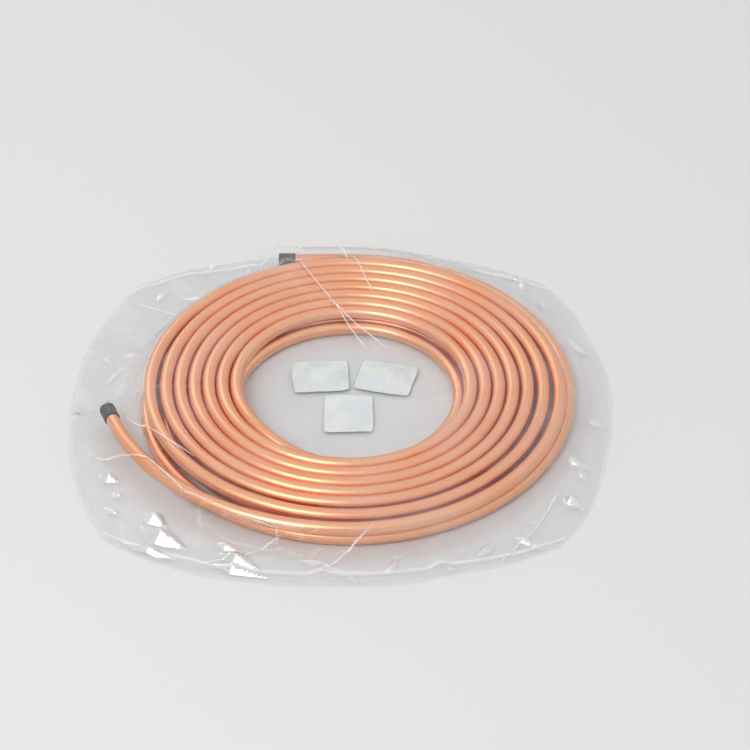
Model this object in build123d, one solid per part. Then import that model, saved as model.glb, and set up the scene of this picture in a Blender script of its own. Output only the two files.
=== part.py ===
from build123d import *
from math import cos, pi, radians, sin, sqrt
import os

# Two-layer coil of soft copper tube, capped at both ends and laid in a clear bag.
# Millimetres. Origin on the floor under the middle of the bore, +Z up, front towards -Y.

# Tube
tube_od = 12.7
tube_wall = 0.8
layer_gap = 0.25
rest_gap = 0.1

# Winding, seen from above: the top layer runs inwards, the bottom layer back outwards
turns_per_layer = 7
inner_front_radius = 114.0
inner_back_radius = 115.8
turn_gap = 0.3
top_front_looseness = [4.5, 4.0, 1.0, 0.5, 0.1, 0.0]
top_back_looseness = [0.0, 0.0, 0.7, 0.5, 0.5, 0.7]
bottom_front_looseness = [7.0, 0.8, 0.0, 0.0, 0.0, 0.0]
bottom_back_looseness = [0.0, 0.0, 0.0, 0.0, 0.0, 0.0]
crossover_start_angle = 205.0

# Free ends
top_tail_radius = 238.0
top_tail_sweep = 68.0
top_tail_end_run = 20.0
bottom_tail_radius = 217.0
bottom_tail_rise = 1.6
bottom_tail_run = 72.0

# Push-on end caps
cap_wall = 1.1
cap_slack = 0.1
cap_grip = 15.0
cap_end_thickness = 2.0
cap_end_fillet = 1.6

# Bag of clear film: a lower and an upper ply
film_thickness = 0.2
bag_width = 510.0
bag_depth = 500.0
bag_centre_x = -10.0
bag_centre_y = -5.0
bag_corner_radius = 150.0
bag_headroom = 1.2
bag_dip_floor = 7.2
bag_dip_rim_radius = 96.5
bag_dip_floor_radius = 91.0

# The upper ply falls close round the coil. Its outline at each height is a rounded
# rectangle: centre x, centre y, half width, half depth, corner radius
bag_fall_top = (-14.0, 2.0, 222.0, 208.0, 198.0)
bag_fall_upper = (-14.0, 3.0, 227.0, 215.0, 204.0)
bag_fall_upper_height = 20.0
bag_fall_lower = (-9.0, 6.0, 230.0, 231.0, 212.0)
bag_fall_lower_height = 8.0
bag_fall_foot = (-9.0, 6.0, 234.0, 235.0, 216.0)

# Paper desiccant packs on the lower ply: place (x, y) and turn of each
pack_length = 56.0
pack_width = 48.0
pack_height = 6.5
pack_corner_radius = 4.0
pack_edge_height = 1.6
pack_places = {
    "desiccant_pack_left": (-28.5, 36.0, 4.0),
    "desiccant_pack_right": (34.5, 34.0, -13.0),
    "desiccant_pack_front": (-1.5, -19.5, 90.0),
}

tube_radius = tube_od / 2
turn_pitch = tube_od + turn_gap
bottom_height = film_thickness + rest_gap + tube_radius
top_height = bottom_height + tube_od + layer_gap
cap_outer_radius = tube_radius + cap_slack + cap_wall


def crossing_radii(innermost, looseness):
    """Radii where the turns cross one axis, from the outermost turn to the innermost."""
    radii = [innermost]
    for extra in reversed(looseness):
        radii.append(radii[-1] + turn_pitch + extra)
    return radii[::-1]


def half_turn(start, end, side):
    """Semicircle from start to end on the +X or -X side, level along X at both ends."""
    middle = (start + end) / 2
    radius = (end - start).length / 2
    return ThreePointArc(start, middle + Vector(side * radius, 0, 0), end)


def crossover(start, end):
    """From the top layer's last back crossing down to the bottom layer's first front one."""
    centre_y = (start.Y + end.Y) / 2
    radius = (start.Y - end.Y) / 2
    angle = radians(crossover_start_angle)
    drop_start = Vector(radius * cos(angle), centre_y + radius * sin(angle), start.Z)
    leaving = Vector(-sin(angle), cos(angle), 0)
    arriving = Vector(1, 0, 0)
    level = ThreePointArc(start, Vector(-radius, centre_y, start.Z), drop_start)
    # Two tangent arcs that meet halfway: |gap - reach * (leaving + arriving)| = 2 * reach
    gap = end - drop_start
    both = leaving + arriving
    a = both.dot(both) - 4
    b = -2 * gap.dot(both)
    c = gap.dot(gap)
    reach = (-b - sqrt(b * b - 4 * a * c)) / (2 * a)
    first_corner = drop_start + leaving * reach
    second_corner = end - arriving * reach
    meeting = (first_corner + second_corner) / 2
    falling = (second_corner - first_corner).normalized()
    return [
        level,
        TangentArc(drop_start, meeting, tangent=leaving),
        TangentArc(meeting, end, tangent=falling),
    ]


def tube_path():
    """Centre line from the top layer's free end to the bottom layer's."""
    top_front = crossing_radii(inner_front_radius, top_front_looseness)
    top_back = crossing_radii(inner_back_radius, top_back_looseness)
    low_front = crossing_radii(inner_front_radius, bottom_front_looseness)[::-1]
    low_back = crossing_radii(inner_front_radius + turn_pitch / 2, bottom_back_looseness)[::-1]

    first = Vector(0, -top_front[0], top_height)
    tail_centre = first + Vector(0, top_tail_radius, 0)
    tail_angles = [radians(270 - top_tail_sweep * share) for share in (1, 0.5)]
    tail_points = [
        tail_centre + Vector(top_tail_radius * cos(angle), top_tail_radius * sin(angle), 0)
        for angle in tail_angles
    ]
    tail_arc = ThreePointArc(tail_points[0], tail_points[1], first)
    tail_end = tail_points[0] - (tail_arc % 0) * top_tail_end_run
    edges = [Line(tail_end, tail_points[0]), tail_arc]

    for turn in range(turns_per_layer):
        front = Vector(0, -top_front[turn], top_height)
        back = Vector(0, top_back[turn], top_height)
        edges.append(half_turn(front, back, 1))
        if turn < turns_per_layer - 1:
            edges.append(half_turn(back, Vector(0, -top_front[turn + 1], top_height), -1))

    first_low = Vector(0, -(inner_front_radius - turn_pitch), bottom_height)
    edges.extend(crossover(Vector(0, top_back[-1], top_height), first_low))
    front = first_low
    for turn in range(turns_per_layer):
        back_radius = low_back[turn - 1] if turn else inner_front_radius - turn_pitch / 2
        back = Vector(0, back_radius, bottom_height)
        edges.append(half_turn(front, back, 1))
        next_front = Vector(0, -low_front[turn], bottom_height)
        edges.append(half_turn(back, next_front, -1))
        front = next_front
    lifted = Vector(0, bottom_tail_radius, bottom_height + bottom_tail_rise)
    edges.append(half_turn(front, lifted, 1))
    edges.append(Line(lifted, lifted - Vector(bottom_tail_run, 0, 0)))
    return Wire([edge.edge() for edge in edges])


def section_plane(point, direction):
    """Plane square to the tube at one point of its path."""
    return Plane(origin=point, z_dir=direction)


def make_tube(path):
    section = section_plane(path @ 0, path % 0) * (
        Circle(tube_radius) - Circle(tube_radius - tube_wall)
    )
    return sweep(section, path=path)


def make_cap(end_point, outwards):
    """Cup that pushes over one tube end; its closed end faces outwards."""
    rim = section_plane(end_point - outwards * cap_grip, outwards)
    body = Cylinder(
        cap_outer_radius, cap_grip + cap_end_thickness, align=(Align.CENTER, Align.CENTER, Align.MIN)
    )
    body = fillet(body.edges().group_by(Axis.Z)[-1], cap_end_fillet)
    bore = Cylinder(
        tube_radius + cap_slack, cap_grip + rest_gap, align=(Align.CENTER, Align.CENTER, Align.MIN)
    )
    return rim * (body - bore)


def bag_outline():
    return Pos(bag_centre_x, bag_centre_y) * RectangleRounded(bag_width, bag_depth, bag_corner_radius)


def fall_outline(section, height, skin):
    """Outline round the coil at one height, larger by the skin."""
    x, y, half_width, half_depth, corner = section
    return Pos(x, y, height) * RectangleRounded(
        2 * (half_width + skin), 2 * (half_depth + skin), corner + skin
    )


def bag_tent(skin):
    """Room under the upper ply, larger by the skin, with its dip into the bore."""
    top = top_height + tube_radius + bag_headroom + skin
    tent = loft(
        [
            fall_outline(bag_fall_foot, film_thickness, skin),
            fall_outline(bag_fall_lower, bag_fall_lower_height, skin),
            fall_outline(bag_fall_upper, bag_fall_upper_height, skin),
            fall_outline(bag_fall_top, top, skin),
        ],
        ruled=True,
    )
    floor = bag_dip_floor + skin
    dip = Pos(0, 0, (top + floor) / 2) * Cone(
        bag_dip_floor_radius - skin, bag_dip_rim_radius - skin, top - floor
    )
    return tent - dip


def make_upper_ply():
    skirt = extrude(Pos(0, 0, film_thickness) * bag_outline(), film_thickness)
    return skirt + bag_tent(film_thickness) - bag_tent(0)


def make_pack(x, y, turn):
    """Pillow of paper: a flat sealed edge with a rounded filling."""
    outline = RectangleRounded(pack_length, pack_width, pack_corner_radius)
    edge = extrude(outline, pack_edge_height)
    seal = 2.5 * pack_corner_radius
    crown = loft(
        [
            Pos(0, 0, pack_edge_height) * outline,
            Pos(0, 0, pack_height)
            * RectangleRounded(pack_length - seal, pack_width - seal, pack_corner_radius),
        ]
    )
    return Pos(x, y, film_thickness) * Rot(0, 0, turn) * (edge + crown)


def main():
    path = tube_path()
    parts = {
        "copper_tube": make_tube(path),
        "end_cap_front": make_cap(path @ 0, (path % 0) * -1),
        "end_cap_back": make_cap(path @ 1, path % 1),
        "bag_lower_ply": extrude(bag_outline(), film_thickness),
        "bag_upper_ply": make_upper_ply(),
    }
    for name, (x, y, turn) in pack_places.items():
        parts[name] = make_pack(x, y, turn)

    os.makedirs("parts", exist_ok=True)
    for name, shape in parts.items():
        export_step(shape, f"parts/{name}.step")
    section_area = pi * (tube_radius**2 - (tube_radius - tube_wall) ** 2)
    print(f"tube length {path.length / 1000:.2f} m")
    print(f"tube volume / (section x length) {parts['copper_tube'].volume / section_area / path.length:.5f}")


main()
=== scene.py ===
import bpy
import bmesh
import math
import random
import time
from mathutils import Matrix, Vector, noise
from mathutils.bvhtree import BVHTree


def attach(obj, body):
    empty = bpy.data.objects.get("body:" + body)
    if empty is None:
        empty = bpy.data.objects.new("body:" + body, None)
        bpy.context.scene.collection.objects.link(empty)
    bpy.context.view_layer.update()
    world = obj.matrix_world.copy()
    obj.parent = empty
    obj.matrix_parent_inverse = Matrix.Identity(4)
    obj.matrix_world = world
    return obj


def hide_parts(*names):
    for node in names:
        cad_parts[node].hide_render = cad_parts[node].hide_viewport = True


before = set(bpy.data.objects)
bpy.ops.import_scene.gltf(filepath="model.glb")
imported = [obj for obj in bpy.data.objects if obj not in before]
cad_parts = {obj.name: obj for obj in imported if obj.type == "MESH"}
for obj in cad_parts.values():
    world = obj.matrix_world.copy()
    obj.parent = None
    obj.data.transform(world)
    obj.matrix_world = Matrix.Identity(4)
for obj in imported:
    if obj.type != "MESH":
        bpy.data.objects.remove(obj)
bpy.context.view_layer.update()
scene = bpy.context.scene
scene.view_settings.view_transform = "Standard"
startTime = time.perf_counter()


def tell(stage):
    print(f"{stage}, {time.perf_counter() - startTime:.1f} s in")


tell("frame loaded")


# camera: the photograph's height and direction, with a long lens
cameraView = {
    "target": (0.02365, 0.01731, 0.0196),
    "elevation": 38.8,
    "distance": 2.6,
    "lens": 130.5,
    "sensor": 36.0,
    "clipEnd": 30.0,
}


def makeCamera(view):
    tilt = math.radians(view["elevation"])
    data = bpy.data.cameras.new("viewCamera")
    data.lens = view["lens"]
    data.sensor_width = view["sensor"]
    data.clip_end = view["clipEnd"]
    camera = bpy.data.objects.new("viewCamera", data)
    camera.location = Vector(view["target"]) + view["distance"] * Vector((0, -math.cos(tilt), math.sin(tilt)))
    camera.rotation_euler = (math.pi / 2 - tilt, 0, 0)
    scene.collection.objects.link(camera)
    scene.camera = camera


makeCamera(cameraView)
tell("camera placed")


# shared helpers
def addObject(name, bm):
    mesh = bpy.data.meshes.new(name)
    bm.to_mesh(mesh)
    bm.free()
    obj = bpy.data.objects.new(name, mesh)
    scene.collection.objects.link(obj)
    return obj


def addNode(tree, kind, inputs=None, **settings):
    node = tree.nodes.new(kind)
    for key, value in settings.items():
        setattr(node, key, value)
    for key, value in (inputs or {}).items():
        if isinstance(value, bpy.types.NodeSocket):
            tree.links.new(value, node.inputs[key])
        else:
            node.inputs[key].default_value = value
    return node


def startMaterial(name):
    material = bpy.data.materials.new(name)
    material.use_nodes = True
    tree = material.node_tree
    return material, tree, tree.nodes["Principled BSDF"]


def addRamp(tree, source, stops):
    ramp = addNode(tree, "ShaderNodeValToRGB", {"Fac": source})
    elements = ramp.color_ramp.elements
    while len(elements) < len(stops):
        elements.new(0.5)
    for element, (place, colour) in zip(elements, stops):
        element.position = place
        element.color = (*colour, 1.0)
    return ramp.outputs["Color"]


def addNoise(tree, vector, scale, detail=3.0, roughness=0.55):
    inputs = {"Vector": vector, "Scale": scale, "Detail": detail, "Roughness": roughness}
    return addNode(tree, "ShaderNodeTexNoise", inputs).outputs["Fac"]


def addScaled(tree, vector, scale):
    return addNode(tree, "ShaderNodeMapping", {"Vector": vector, "Scale": scale}).outputs["Vector"]


def addMath(tree, operation, *values, **settings):
    node = addNode(tree, "ShaderNodeMath", dict(enumerate(values)), operation=operation, **settings)
    return node.outputs[0]


def addBump(tree, height, strength, distance, under=None, **settings):
    # a bump, laid over another one where that is given
    inputs = {"Height": height, "Strength": strength, "Distance": distance}
    if under is not None:
        inputs["Normal"] = under
    return addNode(tree, "ShaderNodeBump", inputs, **settings).outputs["Normal"]


def addRange(tree, source, low, high, fromLow=0.3, fromHigh=0.7):
    ranged = addNode(
        tree,
        "ShaderNodeMapRange",
        {"Value": source, "From Min": fromLow, "From Max": fromHigh, "To Min": low, "To Max": high},
    )
    return ranged.outputs["Result"]


def ease(value, low, high):
    share = min(max((value - low) / (high - low), 0.0), 1.0)
    return share * share * (3 - 2 * share)


# copper tube: two layers of turns, wound inwards on top and outwards below
tubeLook = {
    "diameter": 0.0127,
    "wall": 0.0008,
    "sides": 24,
    "stepLength": 0.0095,  # along the tube between rings
    "topHeight": 0.0196,
    "lowHeight": 0.00665,
    "turns": 7,
    "pitch": 0.0130,
    "innerFront": 0.1140,
    "innerBack": 0.1158,
    "topFrontLoose": [0.0045, 0.0040, 0.0010, 0.0005, 0.0001, 0.0],
    "topBackLoose": [0.0, 0.0, 0.0007, 0.0005, 0.0005, 0.0007],
    "lowFrontLoose": [0.0070, 0.0008, 0.0, 0.0, 0.0, 0.0],
    "dropAngle": 205.0,  # where the inner turn starts down to the lower layer
    "topTailRadius": 0.238,
    "topTailSweep": 68.0,
    "topTailRun": 0.020,
    "lowTailRadius": 0.217,
    "lowTailRise": 0.0016,
    "lowTailRun": 0.072,
    "boreDepth": 0.012,  # open end, inside its cap
}


def crossingRadii(innermost, loose, pitch):
    radii = [innermost]
    for extra in reversed(loose):
        radii.append(radii[-1] + pitch + extra)
    return radii[::-1]


def windingPoints(look):
    topFront = crossingRadii(look["innerFront"], look["topFrontLoose"], look["pitch"])
    topBack = crossingRadii(look["innerBack"], look["topBackLoose"], look["pitch"])
    lowFront = crossingRadii(look["innerFront"], look["lowFrontLoose"], look["pitch"])[::-1]
    high, low = look["topHeight"], look["lowHeight"]
    sweep = math.radians(look["topTailSweep"])
    tailCentre = Vector((0, look["topTailRadius"] - topFront[0], high))
    spoke = Matrix.Rotation(-sweep, 3, "Z") @ Vector((0, -1, 0))
    direction = Vector((-spoke.y, spoke.x, 0))
    bend = tailCentre + spoke * look["topTailRadius"]
    points = [bend - direction * look["topTailRun"], bend]
    for turn in range(look["turns"]):
        points.append(Vector((0, -topFront[turn], high)))
        points.append(Vector((0, topBack[turn], high)))
    lowStart = Vector((0, look["pitch"] - look["innerFront"], low))
    points += crossoverPoints(points[-1], lowStart, look["dropAngle"])
    for turn in range(look["turns"]):
        points.append(Vector((0, look["innerFront"] + (turn - 0.5) * look["pitch"], low)))
        points.append(Vector((0, -lowFront[turn], low)))
    lifted = Vector((0, look["lowTailRadius"], low + look["lowTailRise"]))
    points += [lifted, lifted - Vector((look["lowTailRun"], 0, 0))]
    return points, direction


def crossoverPoints(start, end, dropAngle):
    # two arcs of equal reach that meet halfway: where they start, meet and end
    angle = math.radians(dropAngle)
    radius = (start.y - end.y) / 2
    leave = Vector((radius * math.cos(angle), (start.y + end.y) / 2 + radius * math.sin(angle), start.z))
    leaving = Vector((-math.sin(angle), math.cos(angle), 0))
    arriving = Vector((1, 0, 0))
    gap, both = end - leave, leaving + arriving
    square, linear = both.dot(both) - 4, -2 * gap.dot(both)
    reach = (-linear - math.sqrt(linear**2 - 4 * square * gap.dot(gap))) / (2 * square)
    return [leave, (leave + leaving * reach + end - arriving * reach) / 2, end]


def sweepRun(ring, start, tangent, end, look, run):
    # one straight or arc of the tube as its own small bmesh, spun from the ring where it starts
    bm = bmesh.new()
    layer = bm.verts.layers.float_vector.new("pipeCoord")
    verts = [bm.verts.new(co) for co in ring]
    edges = [bm.edges.new((verts[number - 1], verts[number])) for number in range(len(verts))]
    chord = end - start
    bend = tangent.angle(chord)
    straight = bend < 1e-4
    axis = Vector((0, 0, 1)) if straight else tangent.cross(chord).normalized()
    arcRadius = 1.0 if straight else chord.length / 2 / math.sin(bend)
    length = chord.length if straight else arcRadius * 2 * bend
    centre = start + axis.cross(tangent) * arcRadius
    steps = math.ceil(length / look["stepLength"])
    bmesh.ops.spin(
        bm,
        geom=verts + edges,
        cent=centre,
        axis=axis,
        dvec=chord / steps if straight else (0, 0, 0),
        angle=0.0 if straight else 2 * bend,
        steps=steps,
        use_merge=False,
    )
    spoke = start - centre
    for vert in bm.verts:  # length along the tube, and the place round it, for the copper's drawing lines
        if straight:
            along = (vert.co - start).dot(tangent)
            middle, heading = start + tangent * along, tangent
        else:
            arm = vert.co - centre
            arm -= axis * arm.dot(axis)
            angle = math.atan2(axis.dot(spoke.cross(arm)), spoke.dot(arm))
            angle = angle if angle > -0.1 else angle + 2 * math.pi
            turned = Matrix.Rotation(angle, 3, axis)
            along, middle, heading = arcRadius * angle, centre + turned @ spoke, turned @ tangent
        outward = heading.cross(Vector((0, 0, 1))).normalized()
        offset = vert.co - middle
        vert[layer] = Vector((run + along, offset.dot(outward), offset.dot(outward.cross(heading))))
    moved = Matrix.Translation(chord) if straight else (
        Matrix.Translation(centre) @ Matrix.Rotation(2 * bend, 4, axis) @ Matrix.Translation(-centre)
    )
    return bm, [moved @ co for co in ring], moved.to_3x3() @ tangent, length


def closeEnd(bm, ring, look):
    # tube end: the wall's rim, then a short way down the hole
    held = [vert for vert in bm.verts if any((vert.co - co).length < 1e-6 for co in ring)]
    edges = [edge for edge in bm.edges if edge.verts[0] in held and edge.verts[1] in held]
    face = bmesh.ops.contextual_create(bm, geom=edges)["faces"][0]
    bmesh.ops.recalc_face_normals(bm, faces=bm.faces)
    bmesh.ops.inset_individual(bm, faces=[face], thickness=look["wall"], depth=0.0)
    for edge in edges + face.edges[:]:
        edge.smooth = False
    bmesh.ops.inset_individual(bm, faces=[face], thickness=1e-5, depth=-look["boreDepth"])


def sweepTube(name, points, tangent, look):
    turn = Matrix.Translation(points[0]) @ tangent.to_track_quat("Z", "Y").to_matrix().to_4x4()
    circle = bmesh.new()
    bmesh.ops.create_circle(circle, segments=look["sides"], radius=look["diameter"] / 2, matrix=turn)
    ring = [vert.co.copy() for vert in circle.verts]
    circle.free()
    whole = bmesh.new()
    whole.verts.layers.float_vector.new("pipeCoord")
    run = 0.0
    for start, end in zip(points, points[1:]):
        part, nextRing, nextTangent, length = sweepRun(ring, start, tangent, end, look, run)
        if start is points[0]:
            closeEnd(part, ring, look)
        if end is points[-1]:
            closeEnd(part, nextRing, look)
        mesh = bpy.data.meshes.new("run")
        part.to_mesh(mesh)
        part.free()
        whole.from_mesh(mesh)
        bpy.data.meshes.remove(mesh)
        ring, tangent, run = nextRing, nextTangent, run + length
    bmesh.ops.remove_doubles(whole, verts=whole.verts, dist=2e-6)
    bmesh.ops.recalc_face_normals(whole, faces=whole.faces)
    for face in whole.faces:
        face.smooth = True
    tell(f"{name} swept, {run:.2f} m long")
    return addObject(name, whole), tangent


copperLook = {
    "colours": [  # deep, plain and pale, each with its place in the bands
        (0.32, (0.945, 0.413, 0.205)),
        (0.52, (0.955, 0.462, 0.248)),
        (0.72, (0.965, 0.508, 0.295)),
    ],
    "bandScale": (9.0, 120.0, 120.0),  # along the tube, and across it twice
    "lineScale": (28.0, 1900.0, 1900.0),  # drawing lines
    "lineRoughness": (-0.04, 0.05),
    "lineBump": (0.06, 0.0002),  # strength, distance
    "cloudScale": 22.0,
    "cloudRoughness": (0.24, 0.35),
    "swayScale": (1.0, 0.6, 0.6),  # slight waves in the wall
    "swayNoise": 45.0,
    "swayBump": (0.08, 0.0006),
}


def copperMaterial(look):
    material, tree, shader = startMaterial("copperDrawn")
    coord = addNode(tree, "ShaderNodeAttribute", attribute_name="pipeCoord").outputs["Vector"]
    drawLines = addNoise(tree, addScaled(tree, coord, look["lineScale"]), 1.0, 2.0)
    softBands = addNoise(tree, addScaled(tree, coord, look["bandScale"]), 1.0, 3.0)
    tree.links.new(addRamp(tree, softBands, look["colours"]), shader.inputs["Base Color"])
    shader.inputs["Metallic"].default_value = 1.0
    clouds = addRange(tree, addNoise(tree, coord, look["cloudScale"], 4.0), *look["cloudRoughness"])
    rough = addMath(tree, "ADD", addRange(tree, drawLines, *look["lineRoughness"]), clouds)
    tree.links.new(rough, shader.inputs["Roughness"])
    fine = addBump(tree, drawLines, *look["lineBump"])
    waves = addNoise(tree, addScaled(tree, coord, look["swayScale"]), look["swayNoise"], 2.0)
    tree.links.new(addBump(tree, waves, *look["swayBump"], under=fine), shader.inputs["Normal"])
    return material


points, firstDirection = windingPoints(tubeLook)
tube, lastDirection = sweepTube("tube_winding", points, firstDirection, tubeLook)
tube.data.materials.append(copperMaterial(copperLook))
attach(tube, "root")
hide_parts("copper_tube")


# push-on caps of black plastic
capLook = {
    "outside": 0.00755,
    "inside": 0.00645,
    "grip": 0.015,
    "endThickness": 0.002,
    "endSlack": 0.0001,
    "corner": 0.0018,
    "cornerSteps": 6,
    "dimple": (0.55, 0.0002),  # in the closed end: share of its radius, depth
    "beadHeight": 0.0002,
    "beadStand": 0.4,  # share of it that stands out from the body
    "beadPlace": (0.0024, 0.0019),  # above the mouth: where it starts and where it is full
    "mouth": (0.0003, 0.0005),  # rounding, across and along
    "mouthSet": 0.0001,  # how far the mouth's outer edge is set back
    "midway": 0.45,  # share of the grip
    "sides": 40,
    "colour": (0.026, 0.021, 0.020),
    "paleShare": 1.7,  # how much lighter the mottle's pale spots are
    "mottleScale": 420.0,
    "roughness": (0.34, 0.5),
    "grainScale": 2600.0,
    "grainBump": (0.25, 0.0001),  # strength, distance
}


def makeCap(name, endPoint, outwards, look):
    # the outline runs from the closed end's middle, over the corner, down to the bead and back up
    # the bore
    top, outside, inside, corner = look["endThickness"], look["outside"], look["inside"], look["corner"]
    foot, body = -look["grip"], outside - look["beadHeight"] * look["beadStand"]
    dimpleShare, dimpleDepth = look["dimple"]
    beadStart, beadFull = look["beadPlace"]
    mouthAcross, mouthAlong = look["mouth"]
    outline = [(0.0, top - dimpleDepth), (outside * dimpleShare, top)]
    for step in range(look["cornerSteps"] + 1):
        angle = math.pi / 2 * (1 - step / look["cornerSteps"])
        outline.append((outside - corner + corner * math.cos(angle), top - corner + corner * math.sin(angle)))
    outline += [
        (body, foot * look["midway"]),
        (body, foot + beadStart),
        (outside, foot + beadFull),
        (outside, foot + mouthAlong),
        (outside - mouthAcross, foot + look["mouthSet"]),
        (inside + mouthAcross, foot),
        (inside, foot + mouthAlong),
        (inside, look["endSlack"]),
        (0.0, look["endSlack"]),
    ]
    bm = bmesh.new()
    verts = [bm.verts.new((radius, 0, height)) for radius, height in outline]
    edges = [bm.edges.new(pair) for pair in zip(verts, verts[1:])]
    bmesh.ops.spin(
        bm,
        geom=verts + edges,
        cent=(0, 0, 0),
        axis=(0, 0, 1),
        dvec=(0, 0, 0),
        angle=2 * math.pi,
        steps=look["sides"],
        use_merge=True,
    )
    bmesh.ops.remove_doubles(bm, verts=bm.verts, dist=1e-6)
    bmesh.ops.recalc_face_normals(bm, faces=bm.faces)
    turn = outwards.to_track_quat("Z", "Y").to_matrix().to_4x4()
    bmesh.ops.transform(bm, verts=bm.verts, matrix=Matrix.Translation(endPoint) @ turn)
    for face in bm.faces:
        face.smooth = True
    return addObject(name, bm)


def capMaterial(look):
    material, tree, shader = startMaterial("capPlastic")
    coord = addNode(tree, "ShaderNodeTexCoord").outputs["Object"]
    mottle = addNoise(tree, coord, look["mottleScale"], 3.0)
    dark, pale = look["colour"], tuple(value * look["paleShare"] for value in look["colour"])
    tree.links.new(addRamp(tree, mottle, [(0.35, dark), (0.75, pale)]), shader.inputs["Base Color"])
    tree.links.new(addRange(tree, mottle, *look["roughness"]), shader.inputs["Roughness"])
    grain = addBump(tree, addNoise(tree, coord, look["grainScale"], 2.0), *look["grainBump"])
    tree.links.new(grain, shader.inputs["Normal"])
    return material


capFinish = capMaterial(capLook)
for name, node, endPoint, outwards in (
    ("tube_cap_front", "end_cap_front", points[0], -firstDirection),
    ("tube_cap_back", "end_cap_back", points[-1], lastDirection),
):
    cap = makeCap(name, endPoint, outwards, capLook)
    cap.data.materials.append(capFinish)
    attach(cap, "root")
    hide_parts(node)
tell("caps made")


# cloth is run ten or twenty times larger than life, where the solver is steady, then scaled back
def runCloth(obj, frames, gravity=1.0, reach=0.015, **settings):
    cloth = obj.modifiers.new("cloth", "CLOTH")
    for key, value in settings.items():
        setattr(cloth.settings, key, value)
    cloth.settings.effector_weights.gravity = gravity
    cloth.collision_settings.distance_min = reach
    cloth.point_cache.frame_start = 1
    cloth.point_cache.frame_end = frames
    for number in range(1, frames + 1):
        scene.frame_set(number)
    evaluated = obj.evaluated_get(bpy.context.evaluated_depsgraph_get())
    placed = [vert.co.copy() for vert in evaluated.to_mesh().vertices]
    evaluated.to_mesh_clear()
    obj.modifiers.remove(cloth)
    scene.frame_set(1)
    for vert, co in zip(obj.data.vertices, placed):
        vert.co = co


def refine(obj, levels):
    # a finer, rounder mesh of the same form
    smooth = obj.modifiers.new("refine", "SUBSURF")
    smooth.levels = smooth.render_levels = levels
    mesh = bpy.data.meshes.new_from_object(obj.evaluated_get(bpy.context.evaluated_depsgraph_get()))
    obj.modifiers.remove(smooth)
    obj.data = mesh
    mesh.polygons.foreach_set("use_smooth", [True] * len(mesh.polygons))


def crumpleForm(cells, height, seed):
    # a jittered, triangulated grid: flat facets that meet in sharp creases
    span, jitter = 0.64, 0.38  # the grid's width, and the points' largest shift as a share of a cell
    rng = random.Random(seed)
    bm = bmesh.new()
    bmesh.ops.create_grid(bm, x_segments=cells, y_segments=cells, size=span / 2)
    cell = span / cells
    for vert in bm.verts:
        shiftX, shiftY = rng.uniform(-jitter, jitter) * cell, rng.uniform(-jitter, jitter) * cell
        vert.co += Vector((shiftX, shiftY, rng.uniform(0, height)))
    bmesh.ops.triangulate(bm, faces=bm.faces, quad_method="ALTERNATE", ngon_method="BEAUTY")
    form = BVHTree.FromBMesh(bm)
    bm.free()
    return form


def crumpleHeight(forms, x, y):
    return sum(form.ray_cast(Vector((x, y, 1.0)), Vector((0, 0, -1)))[0].z for form in forms)


# paper desiccant packs: two plies sealed round the edge and filled with beads
packLook = {
    "length": 0.056,
    "width": 0.048,
    "height": 0.0061,
    "seal": 0.0045,
    "cell": 0.002,
    "paper": 0.0002,
    "cornerPull": 0.06,  # share by which the corners draw in
    "unevenness": (45, 0.0016),  # of the outline: scale, size
    "lift": (90, 0.0006),  # of the plies
    "rest": 0.0004,  # height of the film under the packs
    "simScale": 20.0,
    "frames": 18,
    "creases": (64, 0.0015, 5),  # facets across, height, seed
    "creaseShift": 2,  # each pack takes its creases from this many times its own place
    "creaseFrom": (0.2, 0.6),  # shares of the height over which they fade in
    "creaseInset": 0.010,  # from the rim, where they are in full
    "flatShare": 12,  # one point in this many lies flat on the film
    "places": {
        "left": (-0.0285, 0.036, 4.0),
        "right": (0.0345, 0.034, -13.0),
        "front": (-0.0015, -0.0195, 90.0),
    },
    "tints": [(0.42, (0.82, 0.845, 0.815)), (0.52, (0.71, 0.79, 0.80)), (0.62, (0.77, 0.80, 0.82))],
    "tintScale": 38.0,
    "fibreScale": 900.0,
    "fibreBump": (0.3, 0.0002),  # strength, distance
    "beadScale": 320.0,
    "beadBump": (0.3, 0.0006),
    "roughness": 0.7,
}
packCloth = {
    "quality": 5,
    "mass": 0.3,
    "tension_stiffness": 25.0,
    "compression_stiffness": 25.0,
    "shear_stiffness": 15.0,
    "bending_stiffness": 0.8,
    "use_pressure": True,
    "uniform_pressure_force": 5.0,
    "vertex_group_pressure": "pillow",
    "vertex_group_mass": "sealed",
    "air_damping": 3.0,
}


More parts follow.
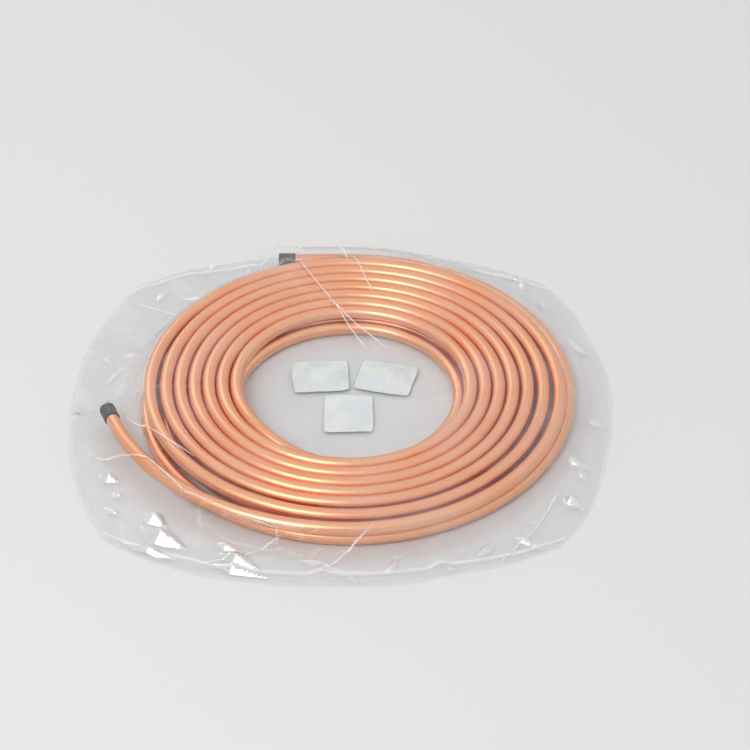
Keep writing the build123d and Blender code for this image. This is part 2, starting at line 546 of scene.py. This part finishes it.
def makePack(name, seed, look):
    rng = random.Random(seed)
    across, down = round(look["length"] / look["cell"]), round(look["width"] / look["cell"])
    scale = look["simScale"]
    bm = bmesh.new()
    for side in (1, -1):
        made = bmesh.ops.create_grid(bm, x_segments=across, y_segments=down, size=0.5)["verts"]
        for vert in made:
            inside = min(0.5 - abs(vert.co.x), 0.5 - abs(vert.co.y)) > 1e-4
            vert.co.z = side * look["paper"] / 2 if inside else 0.0
        if side < 0:
            lowerFaces = list({face for vert in made for face in vert.link_faces})
            bmesh.ops.reverse_faces(bm, faces=lowerFaces)
    for vert in bm.verts:
        corner = (4 * abs(vert.co.x * vert.co.y)) ** 4  # 1 at the corners, near 0 elsewhere
        drawnIn = 1 - look["cornerPull"] * corner
        vert.co.x, vert.co.y = vert.co.x * drawnIn, vert.co.y * drawnIn
    bmesh.ops.scale(bm, verts=bm.verts, vec=(look["length"], look["width"], 1.0))
    bmesh.ops.remove_doubles(bm, verts=bm.verts, dist=1e-6)
    drift = Vector((rng.uniform(0, 50), rng.uniform(0, 50), rng.uniform(0, 50)))
    swayScale, swaySize = look["unevenness"]
    liftScale, liftSize = look["lift"]
    for vert in bm.verts:
        sway = noise.noise_vector(Vector((vert.co.x, vert.co.y, 0)) * swayScale + drift) * swaySize
        vert.co += Vector((sway.x, sway.y, liftSize * noise.noise(vert.co * liftScale + drift)))
    bmesh.ops.scale(bm, verts=bm.verts, vec=(scale, scale, scale))
    obj = addObject(name, bm)
    pillow = obj.vertex_groups.new(name="pillow")
    sealed = obj.vertex_groups.new(name="sealed")
    for vert in obj.data.vertices:
        inset = min(look["length"] / 2 - abs(vert.co.x) / scale, look["width"] / 2 - abs(vert.co.y) / scale)
        group = pillow if inset > look["seal"] else sealed
        group.add([vert.index], 1.0, "REPLACE")
    return obj


def settlePack(obj, look, place, creases):
    # crease the paper, set the pack down on the film, flattened where it rests, and turn it to its place
    heights = sorted(vert.co.z for vert in obj.data.vertices)
    low, high = heights[len(heights) // look["flatShare"]], heights[-1]
    x, y, turn = place
    shiftX, shiftY = x * look["creaseShift"], y * look["creaseShift"]
    placed = Matrix.Translation((x, y, 0)) @ Matrix.Rotation(math.radians(turn), 4, "Z")
    for vert in obj.data.vertices:
        share = max((vert.co.z - low) / (high - low), 0.0)
        across, down = vert.co.x / look["simScale"], vert.co.y / look["simScale"]
        inset = min(look["length"] / 2 - abs(across), look["width"] / 2 - abs(down))
        dent = crumpleHeight([creases], across + shiftX, down + shiftY) - look["creases"][1]
        dent *= ease(share, *look["creaseFrom"]) * ease(inset, 0.0, look["creaseInset"])
        vert.co = placed @ Vector((across, down, look["rest"] + look["height"] * share + dent))


def packMaterial(look):
    material, tree, shader = startMaterial("packPaper")
    coord = addNode(tree, "ShaderNodeTexCoord").outputs["Object"]
    fibres = addNoise(tree, coord, look["fibreScale"], 4.0)
    tint = addRamp(tree, addNoise(tree, coord, look["tintScale"], 1.0, 0.3), look["tints"])
    paper = addRamp(tree, fibres, [(0.3, (0.90, 0.91, 0.91)), (0.7, (1.0, 1.0, 1.0))])
    colours = {"Fac": 1.0, "Color1": tint, "Color2": paper}
    mixed = addNode(tree, "ShaderNodeMixRGB", colours, blend_type="MULTIPLY")
    tree.links.new(mixed.outputs["Color"], shader.inputs["Base Color"])
    shader.inputs["Roughness"].default_value = look["roughness"]
    grain = addBump(tree, fibres, *look["fibreBump"])
    beads = addNode(tree, "ShaderNodeTexVoronoi", {"Vector": coord, "Scale": look["beadScale"]})
    lumps = addBump(tree, beads.outputs["Distance"], *look["beadBump"], under=grain, invert=True)
    tree.links.new(lumps, shader.inputs["Normal"])
    return material


packPaper = packMaterial(packLook)
packCreases = crumpleForm(*packLook["creases"])
packs = []
for seed, (side, place) in enumerate(packLook["places"].items()):
    pack = makePack("sachet_" + side, seed, packLook)
    runCloth(pack, packLook["frames"], gravity=0.0, **packCloth)
    refine(pack, 1)
    settlePack(pack, packLook, place, packCreases)
    pack.data.materials.append(packPaper)
    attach(pack, "root")
    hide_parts("desiccant_pack_" + side)
    packs.append(pack)
tell("packs made")


# clear film bag: an upper ply draped over the coil and a lower ply under it
filmLook = {
    "halfWidth": 0.275,
    "halfDepth": 0.264,
    "centre": (-0.0125, -0.009),
    "roundness": 0.80,
    "gather": (3.1, 0.010),  # of the rim: scale, size
    "cells": 130,
    "seamCell": 4,  # cells from the front and back rims to the welded seam
    "startHeight": 0.029,
    "coilShare": 0.06,  # share of the crumples that the coil's part of the sheet has
    "crumpleFrom": (0.19, 0.24),  # radii between which the rest comes in
    "simScale": 10.0,
    "frames": 34,
    "skin": 0.004,  # of what the film falls on, at the simulation's scale
    "friction": 10.0,
    "coarseTube": {"sides": 10, "stepLength": 0.02},  # the tube as the film meets it
    "floor": 0.0007,
    "clearance": 0.0005,
    "clearReach": 0.004,  # how far off a surface is still looked for
    "capSkin": 0.0017,  # more clearance round the caps' edges
    "spanInner": 0.114,  # the film spans the gaps between the turns
    "spanOuter": 0.199,
    "spanHeight": 0.0260,
    "spanSides": 96,
    "smoothing": (2, 8),  # passes over the whole cloth, and over its rim
    "rimRadius": 0.228,  # where that rim begins
    "skirtRadius": 0.19,  # where the fall to the floor and the tents begin
    "slope": 1.25,  # steepest fall from the coil to the floor
    "slopeTop": 0.0235,
    "slopeReach": 0.025,
    "crumples": [(20, 0.0030, 3), (46, 0.0014, 8)],  # cells across, height, seed
    "clearFold": 0.003,  # tents of this height or more take the full gloss and the full painted highlight
}
filmCloth = {
    "reach": 0.004,
    "quality": 4,
    "mass": 0.12,
    "tension_stiffness": 20.0,
    "compression_stiffness": 20.0,
    "shear_stiffness": 12.0,
    "bending_stiffness": 2.5,
    "air_damping": 1.5,
}
lowerPly = {
    "startHeight": 0.0002,
    "height": 0.00016,
    "waves": (35, 0.00014),  # scale, size
    "smoothing": 12,
}

# how strongly the draped film's facets show, from place to place
crumpleLook = {
    "coilFrom": (0.096, 0.108),  # radii where the coil begins to hold the film taut
    "coilTo": (0.20, 0.22),  # and where it ends
    "coilTaut": 0.93,
    "highFrom": (0.010, 0.024),  # heights between which the film becomes tauter
    "highTaut": 0.7,
    "patchScale": 9,
    "patchRange": (-0.25, 0.35),
    "patchLeast": 0.25,
}

# tents in the skirt, read off the photograph: one end, the other end, height, half width
skirtFolds = [
    ((-0.2330, -0.1060), (-0.2040, -0.1270), 0.0100, 0.0103),
    ((-0.2200, -0.1310), (-0.1980, -0.1510), 0.0080, 0.0083),
    ((-0.1880, -0.1600), (-0.1590, -0.1890), 0.0132, 0.0142),
    ((-0.1960, -0.1760), (-0.1277, -0.2266), 0.0140, 0.0155),
    ((-0.1200, -0.2120), (-0.0690, -0.2460), 0.0120, 0.0132),
    ((-0.1720, -0.1530), (-0.0900, -0.1950), 0.0110, 0.0115),
    ((-0.2100, -0.1980), (-0.1310, -0.2380), 0.0098, 0.0101),
    ((-0.1330, -0.2260), (-0.0560, -0.2530), 0.0080, 0.0084),
    ((-0.2270, -0.1500), (-0.1960, -0.1760), 0.0060, 0.0063),
    ((-0.1300, -0.1960), (-0.0800, -0.2250), 0.0075, 0.0080),
    ((-0.0520, -0.2200), (0.0100, -0.2470), 0.0075, 0.0085),
    ((0.1970, 0.0980), (0.2380, 0.0640), 0.0110, 0.0120),
    ((0.2080, 0.0520), (0.2400, 0.0280), 0.0070, 0.0080),
    ((0.1920, -0.1380), (0.2180, -0.1620), 0.0110, 0.0120),
    ((0.1400, -0.1900), (0.1850, -0.2180), 0.0080, 0.0090),
    ((0.1900, -0.0800), (0.2320, -0.1060), 0.0075, 0.0085),
]

# more tents, placed by chance round the rest of the skirt
looseLook = {
    "count": 42,
    "seed": 21,
    "radius": (0.218, 0.258),
    "lean": 1.1,  # the most that one turns from the rim's direction, in radians
    "length": (0.025, 0.075),
    "height": (0.0025, 0.0065),
    "halfWidth": (1.2, 1.7),  # times the height
    "photographed": (-165, -95),  # directions left to the tents above, in degrees
}
foldForm = {
    "peak": 0.4,  # place of the highest point, as a share of the length
    "snap": 0.001,  # points this near the ridge move onto it
}

# narrow creases: points along each, height, half width
creaseLines = [
    ([(-0.0517, 0.1905), (-0.0180, 0.1250), (0.0149, 0.0624)], 0.0009, 0.0011),
    ([(-0.0227, 0.1274), (0.0324, 0.0655)], 0.0009, 0.0011),
    ([(-0.0159, 0.2281), (0.0066, 0.1905), (0.0207, 0.1405)], 0.0010, 0.0015),
    ([(-0.2108, -0.0475), (-0.1859, -0.0694), (-0.1448, -0.1080)], 0.0012, 0.0013),
    (
        [(-0.2388, -0.0830), (-0.1850, -0.1130), (-0.1490, -0.1560), (-0.0960, -0.1890), (-0.0640, -0.2020)],
        0.0013,
        0.0014,
    ),
    ([(-0.0640, -0.2020), (-0.0640, -0.2080), (-0.0775, -0.2120), (-0.1294, -0.2300)], 0.0013, 0.0014),
    ([(0.0183, -0.2059), (-0.0268, -0.2413)], 0.0011, 0.0012),
    ([(-0.1949, -0.2195), (-0.1519, -0.2460)], 0.0011, 0.0012),
    ([(0.1345, -0.2280), (0.1660, -0.1880), (0.1900, -0.1400)], 0.0010, 0.0012),
    ([(0.1700, 0.1500), (0.2060, 0.1120)], 0.0010, 0.0012),
    ([(-0.1700, 0.1300), (-0.2150, 0.1500)], 0.0011, 0.0012),
]
creaseForm = {
    "past": 0.003,  # how far past the line's ends the film is cut
    "beside": 0.006,  # and how far beside the line
    "taper": (-0.002, 0.008),  # from the ends
    "leastHeight": 0.45,  # share of the height at the ends
    # share of the painted highlight left at the crease's ends
    "leastPaintedHighlight": 0.4,
}


def flatSheet(look, forms):
    # a grid pulled into a rounded outline, gathered a little unevenly at its rim
    bm = bmesh.new()
    bmesh.ops.create_grid(bm, x_segments=look["cells"], y_segments=look["cells"], size=1.0)
    bow = look["roundness"]
    gatherScale, gatherSize = look["gather"]
    seam = bm.verts.layers.float.new("seam")
    seamPlace = 1 - 2 * look["seamCell"] / look["cells"]
    for vert in bm.verts:
        u, v = vert.co.x, vert.co.y
        if abs(abs(v) - seamPlace) < 1e-4:
            vert[seam] = 1.0
        drawn = gatherSize * noise.noise(Vector((u * gatherScale, v * gatherScale, 2.0)))
        rim = 1 + drawn * max(abs(u), abs(v))
        x = u * math.sqrt(1 - bow * v * v / 2) * look["halfWidth"] * rim
        y = v * math.sqrt(1 - bow * u * u / 2) * look["halfDepth"] * rim
        share = look["coilShare"] + (1 - look["coilShare"]) * ease(math.hypot(x, y), *look["crumpleFrom"])
        height = look["startHeight"] + share * crumpleHeight(forms, x, y)
        vert.co = (x + look["centre"][0], y + look["centre"][1], height)
    return bm


def addHull(bm, obj, skin):
    # the plain outside of a hollow cap, a little larger than it
    hull = bmesh.new()
    corners = [hull.verts.new(vert.co) for vert in obj.data.vertices]
    bmesh.ops.convex_hull(hull, input=corners)
    bmesh.ops.delete(hull, geom=[vert for vert in hull.verts if not vert.link_faces], context="VERTS")
    bmesh.ops.recalc_face_normals(hull, faces=hull.faces)
    hull.normal_update()
    for vert, outward in [(vert, vert.normal.copy()) for vert in hull.verts]:
        vert.co += outward * skin
    mesh = bpy.data.meshes.new("hull")
    hull.to_mesh(mesh)
    hull.free()
    bm.from_mesh(mesh)
    bpy.data.meshes.remove(mesh)


def solidForDrape(caps, packs, look):
    # one mesh of all that the film touches: a coarser sweep of the tube, the caps and the packs, and
    # a ring level with the turns' tops, over which the film spans from turn to turn
    coarse, _ = sweepTube("tube_coarse", points, firstDirection, {**tubeLook, **look["coarseTube"]})
    bm = bmesh.new()
    for obj in [coarse, *packs]:
        bm.from_mesh(obj.data)
    for cap in caps:
        addHull(bm, cap, look["capSkin"])
    bpy.data.objects.remove(coarse)
    level = Matrix.Translation((0, 0, look["spanHeight"]))
    circle = bmesh.ops.create_circle(
        bm, segments=look["spanSides"], radius=look["spanInner"], matrix=level
    )["verts"]
    inner = list({edge for vert in circle for edge in vert.link_edges})
    extruded = bmesh.ops.extrude_edge_only(bm, edges=inner)["geom"]
    outer = [item for item in extruded if isinstance(item, bmesh.types.BMVert)]
    grown = look["spanOuter"] / look["spanInner"]
    bmesh.ops.scale(bm, verts=outer, vec=(grown, grown, 1.0))
    ring = list({face for vert in outer for face in vert.link_faces})
    bm.normal_update()
    bmesh.ops.reverse_faces(bm, faces=[face for face in ring if face.normal.z < 0])
    return bm


def drapeFilm(look, solid, forms):
    scale = look["simScale"]
    bm = flatSheet(look, forms)
    bmesh.ops.scale(bm, verts=bm.verts, vec=(scale, scale, scale))
    film = addObject("film_upper", bm)
    ground = solid.copy()
    made = bmesh.ops.create_grid(ground, x_segments=2, y_segments=2, size=0.5)
    bmesh.ops.translate(ground, verts=made["verts"], vec=(0, 0, look["floor"]))
    bmesh.ops.scale(ground, verts=ground.verts, vec=(scale, scale, scale))
    under = addObject("drapeSolid", ground)
    under.modifiers.new("collide", "COLLISION")
    under.collision.thickness_outer = look["skin"]
    under.collision.cloth_friction = look["friction"]
    runCloth(film, look["frames"], **filmCloth)
    bpy.data.objects.remove(under)
    film.data.transform(Matrix.Scale(1 / scale, 4))
    return film


def lowerFrom(film, look):
    # the lower ply has the same rim as the upper one, and lies flat on the floor
    bm = bmesh.new()
    bm.from_mesh(film.data)
    for vert in bm.verts:
        vert.co.z = look["startHeight"]
    inside = [vert for vert in bm.verts if not vert.is_boundary]
    for _ in range(look["smoothing"]):
        bmesh.ops.smooth_vert(
            bm, verts=inside, factor=0.5, use_axis_x=True, use_axis_y=True, use_axis_z=False
        )
    waveScale, waveSize = look["waves"]
    for vert in bm.verts:
        vert.co.z = look["height"] + waveSize * noise.noise(vert.co * waveScale)
    bmesh.ops.recalc_face_normals(bm, faces=bm.faces)
    return addObject("film_lower", bm)


def looseFolds(look):
    # most of these tents run along the rim
    rng = random.Random(look["seed"])
    low, high = [math.radians(direction) for direction in look["photographed"]]
    folds = []
    while len(folds) < look["count"]:
        angle, radius = rng.uniform(-math.pi, math.pi), rng.uniform(*look["radius"])
        lean = angle + math.pi / 2 + rng.uniform(-look["lean"], look["lean"])
        length = rng.uniform(*look["length"])
        height = rng.uniform(*look["height"])
        middle = Vector((radius * math.cos(angle), radius * math.sin(angle)))
        half = Vector((math.cos(lean), math.sin(lean))) * length / 2
        if not low < angle < high:
            halfWidth = height * rng.uniform(*look["halfWidth"])
            folds.append((tuple(middle - half), tuple(middle + half), height, halfWidth))
    return folds


def allFolds():
    # each tent as foldAt takes it: start, direction, length, height, half width, sideways direction
    folds = []
    for start, end, height, halfWidth in skirtFolds + looseFolds(looseLook):
        start, end = Vector(start), Vector(end)
        direction = (end - start).normalized()
        side = Vector((-direction.y, direction.x))
        folds.append((start, direction, (end - start).length, height, halfWidth, side))
    return folds


def foldAt(x, y, folds, form):
    # the highest tent over a point: its height, and the way to its ridge where that is near
    best, toRidge = 0.0, Vector((0, 0))
    peak = form["peak"]
    for start, direction, length, height, halfWidth, side in folds:
        along = (x - start.x) * direction.x + (y - start.y) * direction.y
        if not 0 < along < length:
            continue
        across = (x - start.x) * side.x + (y - start.y) * side.y
        share = along / length
        tall = height * (min(share / peak, (1 - share) / (1 - peak)) - abs(across) / halfWidth)
        if tall > best:
            best, toRidge = tall, (-across * side if abs(across) < form["snap"] else Vector((0, 0)))
    return best, toRidge


def smoothFilm(film, look):
    # even out the cloth, most of all at its rim, and make its mesh finer
    bm = bmesh.new()
    bm.from_mesh(film.data)
    rim = [vert for vert in bm.verts if math.hypot(vert.co.x, vert.co.y) > look["rimRadius"]]
    wholePasses, rimPasses = look["smoothing"]
    for verts in wholePasses * [bm.verts[:]] + rimPasses * [rim]:
        bmesh.ops.smooth_vert(
            bm, verts=verts, factor=0.5, use_axis_x=True, use_axis_y=True, use_axis_z=True
        )
    bm.to_mesh(film.data)
    bm.free()
    refine(film, 1)


def crumpleFilm(bm, look, shares, under, forms, fold):
    # facets everywhere, weakest on the coil; in the skirt also the fall from the coil, and the tents
    folds = allFolds()
    patchScale, patchLeast = shares["patchScale"], shares["patchLeast"]
    bm.normal_update()
    normals = [vert.normal.copy() for vert in bm.verts]
    for vert, normal in zip(bm.verts, normals):
        x, y = vert.co.x, vert.co.y
        radius = math.hypot(x, y)
        onCoil = ease(radius, *shares["coilFrom"]) * (1 - ease(radius, *shares["coilTo"]))
        patchy = ease(noise.noise(Vector((x * patchScale, y * patchScale, 5.0))), *shares["patchRange"])
        loose = 1 - shares["coilTaut"] * onCoil
        low = 1 - shares["highTaut"] * ease(vert.co.z, *shares["highFrom"])
        patch = patchLeast + (1 - patchLeast) * patchy
        vert.co += normal * loose * low * patch * crumpleHeight(forms, x, y)
        if radius > look["skirtRadius"]:
            top = under.ray_cast(Vector((x, y, 0.1)), Vector((0, 0, -1)))[0]
            if top is not None:
                vert.co.z = max(vert.co.z, top.z + look["clearance"])
            beside = under.find_nearest(Vector((x, y, tubeLook["topHeight"])), look["slopeReach"])[0]
            if beside is not None:
                fall = look["slope"] * math.hypot(beside.x - x, beside.y - y)
                vert.co.z = max(vert.co.z, look["slopeTop"] - fall)
            height, toRidge = foldAt(x, y, folds, foldForm)
            if look["floor"] + height > vert.co.z:
                vert.co = (x + toRidge.x, y + toRidge.y, look["floor"] + height)
                # the fold weight gives the tents more gloss and a painted highlight of extra milky white
                vert[fold] = min(height / look["clearFold"], 1.0)


def keepClear(bm, under, look):
    # push the film off what lies under it, where it is nearer than its clearance or inside
    for vert in bm.verts:
        near, away, _, _ = under.find_nearest(vert.co, look["clearReach"])
        if near is not None and (vert.co - near).dot(away) < look["clearance"]:
            vert.co = near + away * look["clearance"]
        vert.co.z = max(vert.co.z, look["floor"])


def creaseFilm(film, look, solid, forms):
    # fold facets, tents and creases into the film, then keep it clear of what it covers
    smoothFilm(film, look)
    coarse = BVHTree.FromBMesh(solid)
    fine = BVHTree.FromObject(tube, bpy.context.evaluated_depsgraph_get())
    bm = bmesh.new()
    bm.from_mesh(film.data)
    fold, crease = bm.verts.layers.float.new("fold"), bm.verts.layers.float.new("crease")
    crumpleFilm(bm, look, crumpleLook, coarse, forms, fold)
    for line, height, halfWidth in creaseLines:
        for start, end in zip(line, line[1:]):
            start, end = Vector((*start, 0)), Vector((*end, 0))
            creaseAlong(bm, start, end, height, halfWidth, crease, creaseForm)
    for under in (fine, coarse, fine):
        keepClear(bm, under, look)
    bm.to_mesh(film.data)
    bm.free()


def creaseAlong(bm, start, end, height, halfWidth, crease, form):
    # cut the film along a line and either side of it, and lift the middle cut to a sharp crease
    direction = (end - start).normalized()
    side = Vector((-direction.y, direction.x, 0))
    length = (end - start).length
    past = form["past"]
    faces = []
    for face in bm.faces:
        offset = face.verts[0].co - start
        if -past < offset.dot(direction) < length + past and abs(offset.dot(side)) < form["beside"]:
            faces.append(face)
    lifted = []
    for shift in (0.0, halfWidth, -halfWidth):
        edges = {edge for face in faces for edge in face.edges}
        corners = {vert for face in faces for vert in face.verts}
        geom = [*faces, *edges, *corners]
        cut = bmesh.ops.bisect_plane(bm, geom=geom, dist=1e-5, plane_co=start + side * shift, plane_no=side)
        faces = [item for item in cut["geom"] if isinstance(item, bmesh.types.BMFace)]
        if not shift:
            lifted = [item for item in cut["geom_cut"] if isinstance(item, bmesh.types.BMVert)]
    bm.normal_update()
    leastHeight, leastPaintedHighlight = form["leastHeight"], form["leastPaintedHighlight"]
    for vert in lifted:
        along = (vert.co - start).dot(direction)
        taper = ease(along, *form["taper"]) * ease(length - along, *form["taper"])
        vert.co += vert.normal * height * (leastHeight + (1 - leastHeight) * taper)
        # the crease weight sets the painted highlight, extra milky white, along the line
        vert[crease] = leastPaintedHighlight + (1 - leastPaintedHighlight) * taper


filmFinish = {
    "clear": (0.965, 0.965, 0.97, 1.0),
    "milky": (0.93, 0.94, 0.95, 1.0),
    "milkyRoughness": 0.35,
    "haze": (-0.03, 0.13),  # share of the milky body, in patches
    "hazeScale": 14.0,
    # painted highlight on the tents: extra milky white
    "foldPaintedHighlight": 0.15,
    # painted highlight along the creases: extra milky white
    "creasePaintedHighlight": 0.92,
    "seamHaze": 0.45,
    "gloss": (1.0, 1.0, 1.0, 1.0),
    "glossRoughness": 0.09,
    "plainGloss": 0.028,
    "foldGloss": 0.30,
    "edgeGloss": 0.8,
    "edgePower": 4.5,
    "waveScale": 55.0,
    "waveBump": (0.1, 0.002),  # strength, distance
}


def filmMaterial(look):
    material, tree, shader = startMaterial("filmClear")
    coord = addNode(tree, "ShaderNodeTexCoord").outputs["Object"]
    fold, crease, seam = [
        addNode(tree, "ShaderNodeAttribute", attribute_name=name).outputs["Fac"]
        for name in ("fold", "crease", "seam")
    ]
    wave = addBump(tree, addNoise(tree, coord, look["waveScale"], 2.0), *look["waveBump"])
    shader.inputs["Base Color"].default_value = look["milky"]
    shader.inputs["Roughness"].default_value = look["milkyRoughness"]
    clear = addNode(tree, "ShaderNodeBsdfTransparent", {"Color": look["clear"]}).outputs[0]
    haze = addRange(tree, addNoise(tree, coord, look["hazeScale"], 3.0), *look["haze"])
    share = addMath(tree, "MAXIMUM", haze, 0.0)
    # painted highlight as extra milky white on the tents and along the creases; the seam's milkiness is the
    # film's own
    for weight, strength in ((fold, "foldPaintedHighlight"), (crease, "creasePaintedHighlight"), (seam, "seamHaze")):
        share = addMath(tree, "MULTIPLY_ADD", weight, look[strength], share, use_clamp=True)
    body = addNode(tree, "ShaderNodeMixShader", {0: share, 1: clear, 2: shader.outputs[0]}).outputs[0]
    shiny = {"Color": look["gloss"], "Roughness": look["glossRoughness"], "Normal": wave}
    gloss = addNode(tree, "ShaderNodeBsdfGlossy", shiny).outputs[0]
    facing = addNode(tree, "ShaderNodeLayerWeight", {"Blend": 0.5, "Normal": wave}).outputs["Facing"]
    rise = addMath(tree, "POWER", facing, look["edgePower"])
    edge = addMath(tree, "MULTIPLY_ADD", rise, look["edgeGloss"], look["plainGloss"])
    shine = addMath(tree, "MULTIPLY_ADD", fold, look["foldGloss"], edge, use_clamp=True)
    whole = addNode(tree, "ShaderNodeMixShader", {0: shine, 1: body, 2: gloss}).outputs[0]
    output = next(node for node in tree.nodes if node.type == "OUTPUT_MATERIAL")
    tree.links.new(whole, output.inputs["Surface"])
    return material


filmClear = filmMaterial(filmFinish)
caps = [bpy.data.objects["tube_cap_front"], bpy.data.objects["tube_cap_back"]]
solid = solidForDrape(caps, packs, filmLook)
forms = [crumpleForm(*crumple) for crumple in filmLook["crumples"]]
film = drapeFilm(filmLook, solid, forms)
tell("film draped")
lower = lowerFrom(film, lowerPly)
creaseFilm(film, filmLook, solid, forms)
solid.free()
for ply, node, held, rests in (
    (film, "bag_upper_ply", "draped", "tube_winding"),
    (lower, "bag_lower_ply", "laid", "floor"),
):
    ply.data.polygons.foreach_set("use_smooth", [True] * len(ply.data.polygons))
    ply.data.materials.append(filmClear)
    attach(ply, "root")
    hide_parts(node)
tell("film laid")


# plain floor and soft light
roomLook = {
    "floor": (0.72, 0.72, 0.715),
    "floorReach": 4.0,
    "floorRoughness": 0.9,
    "sky": [(0.15, (0.80, 0.80, 0.82)), (0.75, (1.0, 1.0, 1.0))],  # from near the horizon upwards
    "worldStrength": 0.87,
}


def makeRoom(look):
    bm = bmesh.new()
    bmesh.ops.create_grid(bm, x_segments=4, y_segments=4, size=look["floorReach"])
    floor = addObject("floor", bm)
    material, tree, shader = startMaterial("floorPale")
    shader.inputs["Base Color"].default_value = (*look["floor"], 1.0)
    shader.inputs["Roughness"].default_value = look["floorRoughness"]
    floor.data.materials.append(material)
    world = bpy.data.worlds.new("studioWorld")
    world.use_nodes = True
    tree = world.node_tree
    direction = addNode(tree, "ShaderNodeTexCoord").outputs["Generated"]
    height = addNode(tree, "ShaderNodeSeparateXYZ", {"Vector": direction}).outputs["Z"]
    sky = addRamp(tree, height, look["sky"])
    background = tree.nodes["Background"]
    tree.links.new(sky, background.inputs["Color"])
    background.inputs["Strength"].default_value = look["worldStrength"]
    scene.world = world


lightLook = {
    "back": {"place": (-1.3, 2.0, 1.5), "size": 1.4, "power": 5.0, "colour": (1.0, 0.99, 0.97)},
    "key": {"place": (-1.2, -1.5, 2.2), "size": 1.5, "power": 20.0, "colour": (1.0, 0.98, 0.95)},
    "glint": {"place": (-0.95, -1.5, 2.1), "size": 0.5, "power": 3.6, "colour": (1.0, 1.0, 1.0)},
}


def makeLights(look):
    for name, light in look.items():
        data = bpy.data.lights.new(name, "AREA")
        data.size = light["size"]
        data.energy = light["power"]
        data.color = light["colour"]
        lamp = bpy.data.objects.new(name, data)
        lamp.location = light["place"]
        lamp.rotation_euler = (-Vector(light["place"])).to_track_quat("-Z", "Y").to_euler()
        scene.collection.objects.link(lamp)


makeRoom(roomLook)
makeLights(lightLook)
tell("room lit")
